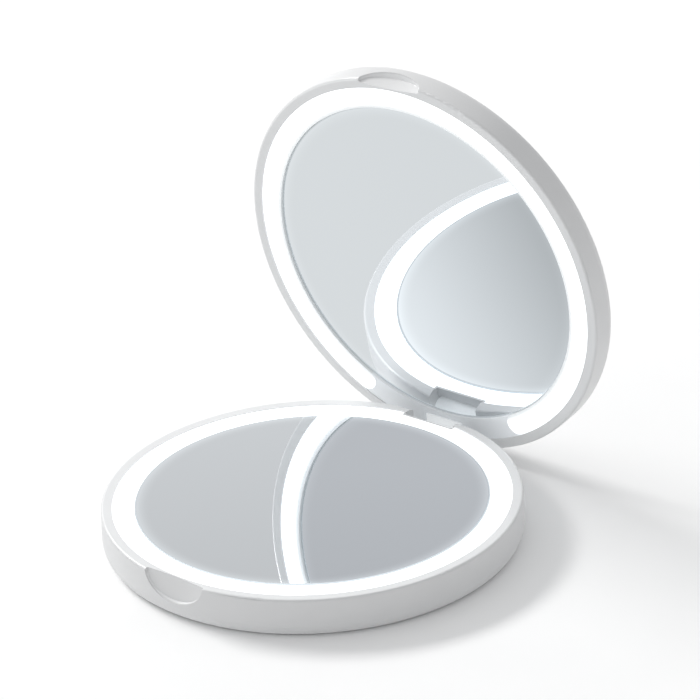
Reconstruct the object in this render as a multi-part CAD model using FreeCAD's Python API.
import FreeCAD, Part
import math
import os

# Round folding compact with two lighted mirrors.
# Millimetres and degrees. The base stands on z = 0, its centre on the Z axis, the hinge towards +Y.

V = FreeCAD.Vector
X_DIR = V(1, 0, 0)
Z_DIR = V(0, 0, 1)

# Driving sizes of the two halves
outer_d = 90.0
base_h = 9.3
lid_h = 7.0
rim_w = 2.35
ring_w = 4.85
open_deg = 84.7
close_gap = 0.4

# Casing walls and edges
base_floor_t = 1.5
lid_floor_t = 1.4
ledge_w = 1.7
rim_round = 0.6
lid_rim_round = 0.6
foot_round = 3.0
back_round = 2.5

# Stack under the rim, from the top down
ring_drop = 0.25
ring_t = 1.0
skirt_t = 0.4
mirror_drop = 0.05
glass_t = 1.9
lid_glass_t = 1.1
tape_t = 0.25
tray_t = 0.9
fit = 0.05
loose = 0.1

# Lamps on the strips
led_count = 18
led_across = 1.6
led_along = 2.0
strip_t_share = 0.26
led_h_share = 0.53
strip_inset = 0.55
strip_end_deg = 34.0
led_end_deg = 39.0

# Ends of the lid's lit arc
arc_end_deg = 29.7

# Hinge
hinge_back = 3.4
hinge_drop_share = 0.5376
notch_w = 12.2
notch_sink = 0.7
roll_gap = 0.2
lining_t = 0.5
lining_setback = 0.05
knuckle_share = 0.42
pocket_play = 0.5
pin_r = 0.75
pin_play = 0.05
pin_seat = 5.4
cheek_w = 6.4
cheek_wall = 1.1
cheek_gap = 0.45
washer_inset = 0.2
washer_t = 1.4
arm_foot_len = 11.0
arm_foot_play = 0.1
arm_sill_share = 0.48
arm_setback = 0.15
arm_inset = 0.4
root_in = 1.5
root_gap = 0.35

# Finger scoops
scoop_deg = 5.3
scoop_half_w = 8.3
base_scoop_deep = 5.3
lid_scoop_deep = 3.6
scoop_in = 1.95
scoop_draft = 0.5
scoop_lean_deg = 12.0
scoop_dish_r = 79.0

# Screws and their posts
post_r = 2.3
post_in = 2.8
post_degs = (35.0, 145.0, 215.0, 325.0)
screw_r = 0.7
screw_len = 2.4
head_r = 1.5
head_sink = 0.45
head_h_share = 0.889
screw_play = 0.02
arm_screw_gap_share = 0.5

# Electronics in the base
board_gap = 1.7
board_len = 13.0
board_margin = 0.35
board_t_share = 0.213
board_lift_share = 0.106
board_post_r = 1.5
board_screw_in = 2.2
board_screw_len = 1.4
usb_gap = 0.25
usb_w = 8.9
socket_gap = 0.2
usb_len = 7.2
usb_recess = 0.8
usb_wall = 0.35
usb_tongue_t = 0.7
usb_corner_share = 0.4
usb_back = 1.4
button_w = 4.8
button_h_share = 0.73
button_corner_share = 0.41
button_play = 0.2
button_proud = 0.35
button_travel = 0.5
flange_lap = 0.5
flange_h_share = 0.9
flange_t = 0.5
flange_gap = 1.0
switch_len = 2.6
switch_w = 4.2
plunger_r = 0.8
plunger_len = 0.5
cell_len_share = 0.95
cell_w_share = 0.635
cell_x_share = 0.24
cell_y_share = -0.13
cell_gap = 0.52
cell_round = 1.0
wire_r = 0.45
wire_step = 1.1
wire_bend = 8.0
lid_wire_bend_share = 0.48
led_wire_side = 0.3
led_wire_in = 0.6
magnet_r = 3.0
base_magnet_share = 0.43
lid_magnet_share = 0.8
magnet_in = 8.6
magnet_wall = 0.6

# Derived sizes
outer_r = outer_d / 2
bore_r = outer_r - rim_w
ledge_r = bore_r - ledge_w
mirror_r = bore_r - ring_w
disc_r = mirror_r - loose
ring_out_r = bore_r - fit
strip_in_r = mirror_r + strip_inset
strip_out_r = bore_r - strip_inset
strip_mid_r = (strip_in_r + strip_out_r) / 2
tray_depth = mirror_drop + glass_t + tape_t
tape_r = strip_in_r - 2 * ledge_w
channel_h = tray_depth - ring_drop - ring_t
strip_t = channel_h * strip_t_share
led_h = channel_h * led_h_share
base_room = base_h - tray_depth - tray_t - base_floor_t
lid_room = lid_h - tray_depth - tray_t - lid_floor_t
post_circle_r = mirror_r - post_in
head_h = head_sink * head_h_share
hinge_drop = base_h * hinge_drop_share
knuckle_r = hinge_drop * knuckle_share
pocket_r = knuckle_r + pocket_play
cheek_front = pocket_r + cheek_wall
cheek_top = base_h - ring_drop - ring_t - cheek_gap
washer_r = knuckle_r - washer_inset
pin_len = notch_w + 2 * pin_seat
arm_w = notch_w - 2 * (washer_t + loose)
arm_sill = lid_floor_t + lid_room * arm_sill_share
arm_screw_gap = arm_w * arm_screw_gap_share
root_r = mirror_r + root_in
lid_wire_bend = lid_room * lid_wire_bend_share
board_out = ledge_r - board_gap
board_t = base_room * board_t_share
board_lift = base_room * board_lift_share
usb_h = base_room - board_lift - board_t - socket_gap
usb_side = usb_gap + usb_w / 2
usb_corner = usb_h * usb_corner_share
usb_out = outer_r - usb_recess
board_w = 2 * (usb_side + usb_w / 2 + board_margin)
board_screw_side = board_w / 2 - board_post_r - 2 * board_margin
switch_h = usb_h
flange_out = ledge_r - flange_gap
flange_w = button_w + 2 * flange_lap
flange_h = usb_h * flange_h_share
button_h = usb_h * button_h_share
button_corner = button_h * button_corner_share
button_side = led_wire_side + wire_step + wire_r + usb_gap + flange_w / 2
cell_h = base_room - cell_gap
cell_len = mirror_r * cell_len_share
cell_w = mirror_r * cell_w_share
cell_x = mirror_r * cell_x_share
cell_y = mirror_r * cell_y_share
hinge_y = outer_r - hinge_back
hinge_z = base_h - hinge_drop
roll_r = hinge_drop + close_gap - roll_gap
notch_y = hinge_y - lining_setback
lining_half = notch_w / 2 + lining_t
lid_axis_z = lid_h + hinge_drop + close_gap
far = 2 * outer_r
high = 2 * (base_h + lid_h)
BASE_HINGE_DEG = 90.0
LID_HINGE_DEG = 270.0
base_scoop_deg = LID_HINGE_DEG - scoop_deg
lid_scoop_deg = BASE_HINGE_DEG + scoop_deg
wire_exit_deg = 36.0


def cylinder(radius, height, z, x=0.0, y=0.0):
    return Part.makeCylinder(radius, height, V(x, y, z))


def ring(r_out, r_in, height, z):
    return cylinder(r_out, height, z).cut(cylinder(r_in, height, z))


def box(x0, x1, y0, y1, z0, z1):
    return Part.makeBox(x1 - x0, y1 - y0, z1 - z0, V(x0, y0, z0))


def rod_x(radius, x0, x1, y, z):
    return Part.makeCylinder(radius, x1 - x0, V(x0, y, z), X_DIR)


def polar(radius, deg):
    return radius * math.cos(math.radians(deg)), radius * math.sin(math.radians(deg))


def turned(shape, deg):
    copy = shape.copy()
    copy.rotate(V(0, 0, 0), Z_DIR, deg)
    return copy


def round_edges_at(shape, z, radius):
    edges = [e for e in shape.Edges if abs(e.BoundBox.ZMin - z) < fit and abs(e.BoundBox.ZMax - z) < fit]
    return shape.makeFillet(radius, edges)


def wedge(deg, half_deg, z0, z1):
    # A pie slice of the given half angle about the direction deg
    side = far / math.cos(math.radians(half_deg))
    a = polar(side, deg - half_deg)
    b = polar(side, deg + half_deg)
    outline = Part.makePolygon([V(0, 0, z0), V(a[0], a[1], z0), V(b[0], b[1], z0), V(0, 0, z0)])
    return Part.Face(outline).extrude(V(0, 0, z1 - z0))


def wire(points, bend):
    # A round lead along straight runs with a tangent arc at the middle point, if there is one
    if len(points) == 2:
        run = points[1] - points[0]
        return Part.makeCylinder(wire_r, run.Length, points[0], run)
    start, corner, end = points
    u = (start - corner).normalize()
    w = (end - corner).normalize()
    half = math.acos(u.dot(w)) / 2
    reach = bend / math.tan(half)
    p = corner + u * reach
    q = corner + w * reach
    mid_dir = (u + w).normalize()
    m = corner + mid_dir * (bend / math.sin(half) - bend)
    runs = [Part.LineSegment(start, p), Part.Arc(p, m, q), Part.LineSegment(q, end)]
    path = Part.Wire([run.toShape() for run in runs])
    section = Part.Wire(Part.makeCircle(wire_r, start, start - p))
    return path.makePipeShell([section], True, True)


# One half of the casing: a cup with a ledge for the tray and a finger scoop in the rim
def cup(height, floor_t, edge_round, top_round, scoop_at, scoop_deep):
    body = round_edges_at(cylinder(outer_r, height, 0.0), 0.0, edge_round)
    body = round_edges_at(body, height, top_round)
    ledge_z = height - tray_depth - tray_t
    body = body.cut(cylinder(ledge_r, ledge_z - floor_t, floor_t))
    body = body.cut(cylinder(bore_r, height, ledge_z))
    return body.cut(scoop(height, scoop_at, scoop_deep))


# The scoop's outline opens outwards by a draft, and its dished back leans out towards the bottom
def scoop(height, deg, deep):
    facing = FreeCAD.Rotation(V(0, 1, 0), Z_DIR, X_DIR, "XYZ")
    outlines = []
    for steps in (-2, 1):
        outline = Part.Wire(Part.Ellipse(V(0, 0, 0), scoop_half_w + steps * scoop_draft,
                                         deep + steps * scoop_draft).toShape())
        outline.Placement = FreeCAD.Placement(V(outer_r + steps * scoop_in, 0, height), facing)
        outlines.append(outline)
    opening = Part.makeLoft(outlines, True, True)
    top_edge = V(outer_r - scoop_in, 0, height)
    dish = cylinder(scoop_dish_r, 4 * deep, height - 2 * deep, outer_r - scoop_in + scoop_dish_r)
    dish.rotate(top_edge, V(0, 1, 0), -scoop_lean_deg)
    return turned(opening.common(dish), deg)


def posts(height, floor_t):
    shapes = []
    ledge_z = height - tray_depth - tray_t
    for deg in post_degs:
        x, y = polar(post_circle_r, deg)
        shapes.append(cylinder(post_r, ledge_z - floor_t / 2, floor_t / 2, x, y))
    return shapes


def screw(head_top, length, x, y):
    # Flat-headed screw standing upright, its head's top at head_top
    head = cylinder(head_r, head_h, head_top - head_h, x, y)
    shank = cylinder(screw_r, length + head_h / 2, head_top - head_h - length, x, y)
    return head.fuse(shank).removeSplitter()


def screw_bore(top, length, x, y):
    return cylinder(screw_r + screw_play, length + loose, top - length - loose, x, y)


def tray_screw_top(height):
    return height - tray_depth - (head_sink - head_h)


def tray_screws(height):
    shapes = []
    for deg in post_degs:
        x, y = polar(post_circle_r, deg)
        shapes.append(screw(tray_screw_top(height), screw_len, x, y))
    return Part.makeCompound(shapes)


def cut_screw_bores(shape, height):
    seat = tray_screw_top(height) - head_h
    for deg in post_degs:
        x, y = polar(post_circle_r, deg)
        shape = shape.cut(screw_bore(seat, screw_len, x, y))
    return shape


def tray(height):
    top = height - tray_depth
    plate = cylinder(ring_out_r, tray_t, top - tray_t)
    for deg in post_degs:
        x, y = polar(post_circle_r, deg)
        plate = plate.cut(cylinder(head_r + loose, head_sink, top - head_sink, x, y))
        plate = plate.cut(cylinder(screw_r + loose, tray_t, top - tray_t, x, y))
    return plate


def ring_cover(height):
    # Channel-shaped light cover: a flat ring on an inner and an outer skirt
    top = height - ring_drop
    foot = height - tray_depth
    body = ring(ring_out_r, mirror_r, top - foot, foot)
    inside = ring(ring_out_r - skirt_t, mirror_r + skirt_t, top - ring_t - foot, foot)
    return body.cut(inside)


def led_strip(height, hinge_deg, gap_deg):
    foot = height - tray_depth
    return ring(strip_out_r, strip_in_r, strip_t, foot).cut(wedge(hinge_deg, gap_deg, foot, foot + strip_t))


def leds(height, hinge_deg, gap_deg):
    foot = height - tray_depth + strip_t
    step = (360.0 - 2 * gap_deg) / (led_count - 1)
    r0 = strip_mid_r - led_across / 2
    one = box(r0, r0 + led_across, -led_along / 2, led_along / 2, foot, foot + led_h)
    return Part.makeCompound([turned(one, hinge_deg + gap_deg + step * i) for i in range(led_count)])


def mirror(height, thickness):
    return cylinder(disc_r, thickness, height - tray_depth + tape_t)


def mirror_tape(height):
    return cylinder(tape_r, tape_t, height - tray_depth)


# Base casing with the hinge notch, pin bore, button hole and charging slot
def base_shell():
    body = cup(base_h, base_floor_t, foot_round, rim_round, base_scoop_deg, base_scoop_deep)
    half = notch_w / 2 + cheek_w
    cheeks = box(-half, half, hinge_y - cheek_front, far, base_floor_t / 2, cheek_top)
    cheeks = cheeks.common(cylinder(bore_r + rim_w / 2, high, 0.0))
    mx, my = polar(outer_r - magnet_in, base_scoop_deg)
    board_z = base_floor_t + board_lift
    magnet_z = magnet_foot(base_h, base_room * base_magnet_share)
    seat = cylinder(magnet_r + magnet_wall, magnet_z - base_floor_t / 2, base_floor_t / 2, mx, my)
    pad_h = board_z - base_floor_t / 2
    pads = [cylinder(board_post_r, pad_h, base_floor_t / 2, x, y) for x, y in board_screw_spots()]
    body = body.fuse([cheeks, seat, notch_lining()] + posts(base_h, base_floor_t) + pads)
    notch_z = base_floor_t - notch_sink
    body = body.cut(box(-notch_w / 2, notch_w / 2, notch_y, far, notch_z, high))
    body = body.cut(box(-notch_w / 2, notch_w / 2, hinge_y - pocket_r, far, notch_z, hinge_z + pocket_r))
    bore_half = outer_r / 2
    body = body.cut(rod_x(pin_r, -bore_half, bore_half, hinge_y, hinge_z))
    body = cut_screw_bores(body, base_h)
    for x, y in board_screw_spots():
        body = body.cut(screw_bore(board_z + board_t, board_t + board_screw_len, x, y))
    hole_len = far - ledge_r / 2
    hole_w = button_w + 2 * button_play
    hole_h = button_h + 2 * button_play
    hole = wall_bar(hole_w, hole_h, hole_len, button_corner + button_play, far, -button_side)
    slot = wall_bar(usb_w + 2 * loose, usb_h + 2 * loose, hole_len, usb_corner + loose, far, usb_side)
    return body.cut(hole).cut(slot).cut(heel_relief()).removeSplitter()


def heel_relief():
    # Behind the hinge the rim's edge is rounded about the pin, so that the lid's rim rolls over it
    corner = box(-outer_r, outer_r, hinge_y, far, hinge_z, high)
    return corner.cut(rod_x(roll_r, -far, far, hinge_y, hinge_z))


def notch_lining():
    # Block round the top of the notch, which leaves a thin back wall and side walls beside the lit ring
    block = box(-lining_half, lining_half, notch_y - lining_t, far, hinge_z + pocket_r, base_h - ring_drop)
    return block.common(cylinder(bore_r + rim_w / 2, high, 0.0))


def board_top():
    return base_floor_t + board_lift + board_t


def button_z():
    return board_top() + usb_h / 2


def board_screw_spots():
    x = -(board_out - board_len + board_screw_in)
    return [(x, -board_screw_side), (x, board_screw_side)]


def wall_bar(width, height, length, corner, out, side):
    # Rounded bar along X at the height of the socket and the switch, its outer end at x = -out
    z = button_z()
    bar = box(-out, -out + length, side - width / 2, side + width / 2, z - height / 2, z + height / 2)
    edges = [e for e in bar.Edges if e.BoundBox.XLength > length / 2]
    return bar.makeFillet(corner, edges)


def usb_socket():
    body = wall_bar(usb_w, usb_h, usb_len, usb_corner, usb_out, usb_side)
    inner_w = usb_w - 2 * usb_wall
    inner_h = usb_h - 2 * usb_wall
    body = body.cut(wall_bar(inner_w, inner_h, usb_len - usb_back, usb_corner - usb_wall, usb_out, usb_side))
    z = board_top() + usb_h / 2
    half = usb_w / 2 - 3 * usb_wall
    tongue = box(-usb_out + usb_back / 2, -usb_out + usb_len - usb_back / 2, usb_side - half, usb_side + half,
                 z - usb_tongue_t / 2, z + usb_tongue_t / 2)
    return body.fuse(tongue).removeSplitter()


def control_board():
    x0 = -board_out
    plate = box(x0, x0 + board_len, -board_w / 2, board_w / 2, board_top() - board_t, board_top())
    for x, y in board_screw_spots():
        plate = plate.cut(cylinder(screw_r + loose, board_t, board_top() - board_t, x, y))
    return plate


def board_screws():
    top = board_top() + head_h
    length = board_t + board_screw_len
    return Part.makeCompound([screw(top, length, x, y) for x, y in board_screw_spots()])


def power_button():
    # Rounded cap that follows the wall's curve, with a flange behind the wall
    z = button_z()
    stem = wall_bar(button_w, button_h, far - flange_out, button_corner, far, -button_side)
    stem = stem.common(cylinder(outer_r + button_proud, high, 0.0))
    y0 = -button_side - flange_w / 2
    flange = box(-flange_out, -flange_out + flange_t, y0, y0 + flange_w, z - flange_h / 2, z + flange_h / 2)
    return stem.fuse(flange).removeSplitter()


def tact_switch():
    tip = -(flange_out - flange_t - button_travel - loose)
    face = tip + plunger_len
    y0 = -button_side - switch_w / 2
    body = box(face, face + switch_len, y0, y0 + switch_w, board_top(), board_top() + switch_h)
    return body.fuse(rod_x(plunger_r, tip, face + fit, -button_side, button_z())).removeSplitter()


def battery_cell():
    x0 = cell_x - cell_len / 2
    y0 = cell_y - cell_w / 2
    body = box(x0, x0 + cell_len, y0, y0 + cell_w, base_floor_t, base_floor_t + cell_h)
    edges = [e for e in body.Edges if e.BoundBox.ZLength > cell_h / 2]
    return body.makeFillet(cell_round, edges)


def battery_leads():
    z = board_top() - board_t / 2
    x0 = -board_out + board_len
    x1 = cell_x - cell_len / 2
    sides = (cell_y, cell_y + wire_step)
    return Part.makeCompound([wire([V(x0, y, z), V(x1, y, z)], wire_bend) for y in sides])


def led_lead_spots():
    x = -(board_out - led_wire_in)
    return [(x, -led_wire_side - wire_step * i) for i in range(2)]


def led_leads():
    foot = base_h - tray_depth
    shapes = []
    for x, y in led_lead_spots():
        shapes.append(wire([V(x, y, board_top()), V(x, y, foot)], wire_bend))
    return Part.makeCompound(shapes)


def hinge_leads():
    # From the board's inner edge to the face of the left hinge cheek
    z = board_top() - board_t / 2
    x0 = -board_out + board_len
    y_end = hinge_y - cheek_front
    shapes = []
    for i in range(2):
        x = -(notch_w / 2 + cheek_w / 2) - wire_step * i
        y = board_w / 2 - wire_step * (2 - i)
        shapes.append(wire([V(x0, y, z), V(x, y, z), V(x, y_end, z)], wire_bend))
    return Part.makeCompound(shapes)


def base_tray():
    plate = tray(base_h)
    half = notch_w / 2 + cheek_w + loose
    foot = base_h - tray_depth - tray_t
    plate = plate.cut(box(-half, half, hinge_y - cheek_front - loose, far, foot, high))
    for x, y in led_lead_spots():
        plate = plate.cut(cylinder(wire_r + fit, tray_t, foot, x, y))
    return plate


def base_diffuser_ring():
    half = notch_w / 2 + cheek_w + loose
    top = base_h - ring_drop
    body = ring_cover(base_h)
    body = body.cut(box(-half, half, hinge_y - cheek_front - loose, far, 0.0, top - ring_t))
    half = lining_half + fit
    return body.cut(box(-half, half, notch_y - lining_t - fit, far, 0.0, high))


def magnet_foot(height, magnet_h):
    return height - tray_depth - tray_t - loose - magnet_h


def disc_magnet(height, magnet_h, deg):
    x, y = polar(outer_r - magnet_in, deg)
    return cylinder(magnet_r, magnet_h, magnet_foot(height, magnet_h), x, y)


def hinge_pin():
    return rod_x(pin_r, -pin_len / 2, pin_len / 2, hinge_y, hinge_z)


def hinge_washers():
    inner = arm_w / 2 + loose
    outer = notch_w / 2
    both = []
    for x0, x1 in ((-outer, -inner), (inner, outer)):
        both.append(rod_x(washer_r, x0, x1, hinge_y, hinge_z).cut(rod_x(pin_r, x0, x1, hinge_y, hinge_z)))
    return Part.makeCompound(both)


# Lid pieces lie face up here, hinge towards -Y, and are swung into place at the end
def lid_shell():
    body = cup(lid_h, lid_floor_t, back_round, lid_rim_round, lid_scoop_deg, lid_scoop_deep)
    mx, my = polar(outer_r - magnet_in, lid_scoop_deg)
    magnet_z = magnet_foot(lid_h, lid_room * lid_magnet_share)
    seat = cylinder(magnet_r + magnet_wall, magnet_z - lid_floor_t / 2, lid_floor_t / 2, mx, my)
    body = body.fuse([seat] + posts(lid_h, lid_floor_t))
    half = arm_w / 2 + loose
    body = body.cut(box(-half, half, -far, -ledge_r + ledge_w, arm_sill - fit, high))
    body = cut_screw_bores(body, lid_h)
    for x, y in arm_screw_spots():
        body = body.cut(screw_bore(lid_floor_t, lid_floor_t / 2, x, y))
    return body.removeSplitter()


def arm_foot_top():
    return lid_h - tray_depth - tray_t - arm_foot_play


def arm_foot_y():
    return -math.sqrt(ledge_r ** 2 - (arm_w / 2) ** 2) + loose


def arm_screw_spots():
    y = arm_foot_y() + arm_foot_len / 2
    return [(-arm_screw_gap / 2, y), (arm_screw_gap / 2, y)]


def root_window(foot):
    # Opening in the lid's tray and ring cover round the root of the arm
    half = arm_w / 2 + root_gap
    return box(-half, half, -far, -root_r + root_gap, foot, high)


def hinge_arm():
    half = arm_w / 2
    top = arm_foot_top()
    tab_y = -hinge_y - arm_setback
    foot_y = arm_foot_y()
    foot = box(-half, half, foot_y, foot_y + arm_foot_len, lid_floor_t, top)
    bridge = box(-half, half, -far, foot_y + loose, arm_sill, top)
    root = box(-half, half, -far, -root_r, arm_sill, lid_h - ring_drop)
    tab = box(-half, half, -far, tab_y, arm_sill, lid_axis_z)
    outside = cylinder(outer_r - arm_inset, 2 * high, 0.0)
    knuckle = rod_x(knuckle_r, -half, half, -hinge_y, lid_axis_z)
    body = bridge.fuse([root, tab]).common(outside).fuse([foot, knuckle])
    body = body.cut(rod_x(pin_r + pin_play, -half, half, -hinge_y, lid_axis_z))
    for x, y in arm_screw_spots():
        body = body.cut(cylinder(screw_r + loose, high, lid_floor_t, x, y))
        body = body.cut(cylinder(head_r + loose, high, top - head_sink, x, y))
    return body.removeSplitter()


def arm_screws():
    top = arm_foot_top() - (head_sink - head_h)
    length = top - head_h - lid_floor_t / 2
    return Part.makeCompound([screw(top, length, x, y) for x, y in arm_screw_spots()])


def lid_tray():
    plate = tray(lid_h)
    foot = lid_h - tray_depth - tray_t
    plate = plate.cut(root_window(foot))
    for x, y in lid_lead_spots():
        plate = plate.cut(cylinder(wire_r + fit, tray_t, foot, x, y))
    return plate


def arc_ends(radius, z0, z1):
    mid_r = (ring_out_r + mirror_r) / 2
    spots = [polar(mid_r, LID_HINGE_DEG + s * arc_end_deg) for s in (-1, 1)]
    return [cylinder(radius, z1 - z0, z0, x, y) for x, y in spots]


def lid_diffuser_ring():
    top = lid_h - ring_drop
    foot = lid_h - tray_depth
    body = ring_cover(lid_h).cut(wedge(LID_HINGE_DEG, arc_end_deg, foot, top))
    return body.fuse(arc_ends((ring_out_r - mirror_r) / 2, top - ring_t, top)).removeSplitter()


def lid_ring_cover():
    # Plain stretch of ring between the ends of the lit arc
    top = lid_h - ring_drop
    foot = lid_h - tray_depth
    body = ring(ring_out_r, mirror_r, top - foot, foot)
    body = body.common(wedge(LID_HINGE_DEG, arc_end_deg, foot, top))
    for end in arc_ends((ring_out_r - mirror_r) / 2 + loose, foot, top):
        body = body.cut(end)
    body = body.cut(root_window(foot))
    return max(body.Solids, key=lambda s: s.Volume)


def lid_lead_spots():
    x, y = polar(strip_in_r + 2 * wire_r, LID_HINGE_DEG + wire_exit_deg)
    return [(-x, y), (x, y)]


def lid_leads():
    foot = lid_h - tray_depth
    z = (lid_floor_t + arm_foot_top()) / 2
    shapes = []
    for x, y in lid_lead_spots():
        x0 = math.copysign(arm_w / 2, x)
        shapes.append(wire([V(x0, y, z), V(x, y, z), V(x, y, foot)], lid_wire_bend))
    return Part.makeCompound(shapes)


def lid_placed(shape):
    # From lying flat and face up to the opening angle, about the hinge pin
    copy = shape.copy()
    copy.translate(V(0, 2 * hinge_y, hinge_z - lid_axis_z))
    copy.rotate(V(0, hinge_y, hinge_z), X_DIR, 180.0 - open_deg)
    return copy


base_nodes = {
    "base_shell": base_shell(),
    "base_tray": base_tray(),
    "base_mirror": mirror(base_h, glass_t),
    "base_mirror_tape": mirror_tape(base_h),
    "base_diffuser_ring": base_diffuser_ring(),
    "base_led_strip": led_strip(base_h, BASE_HINGE_DEG, strip_end_deg),
    "base_leds": leds(base_h, BASE_HINGE_DEG, led_end_deg),
    "base_tray_screws": tray_screws(base_h),
    "base_magnet": disc_magnet(base_h, base_room * base_magnet_share, base_scoop_deg),
    "control_board": control_board(),
    "board_screws": board_screws(),
    "usb_socket": usb_socket(),
    "tact_switch": tact_switch(),
    "power_button": power_button(),
    "battery_cell": battery_cell(),
    "battery_leads": battery_leads(),
    "led_leads": led_leads(),
    "hinge_leads": hinge_leads(),
    "hinge_pin": hinge_pin(),
    "hinge_washers": hinge_washers(),
}

lid_nodes = {
    "lid_shell": lid_shell(),
    "lid_tray": lid_tray(),
    "lid_mirror": mirror(lid_h, lid_glass_t),
    "lid_mirror_tape": mirror_tape(lid_h),
    "lid_diffuser_ring": lid_diffuser_ring(),
    "lid_ring_cover": lid_ring_cover(),
    "lid_led_strip": led_strip(lid_h, LID_HINGE_DEG, strip_end_deg),
    "lid_leds": leds(lid_h, LID_HINGE_DEG, led_end_deg),
    "lid_tray_screws": tray_screws(lid_h),
    "lid_magnet": disc_magnet(lid_h, lid_room * lid_magnet_share, lid_scoop_deg),
    "lid_leads": lid_leads(),
    "hinge_arm": hinge_arm(),
    "arm_screws": arm_screws(),
}

os.makedirs("parts", exist_ok=True)
nodes = dict(base_nodes)
for name, shape in lid_nodes.items():
    nodes[name] = lid_placed(shape)

for name, shape in nodes.items():
    solids = len(shape.Solids)
    print(name, "solids", solids, "volume", round(shape.Volume), "valid", shape.isValid())
    shape.exportStep("parts/" + name + ".step")
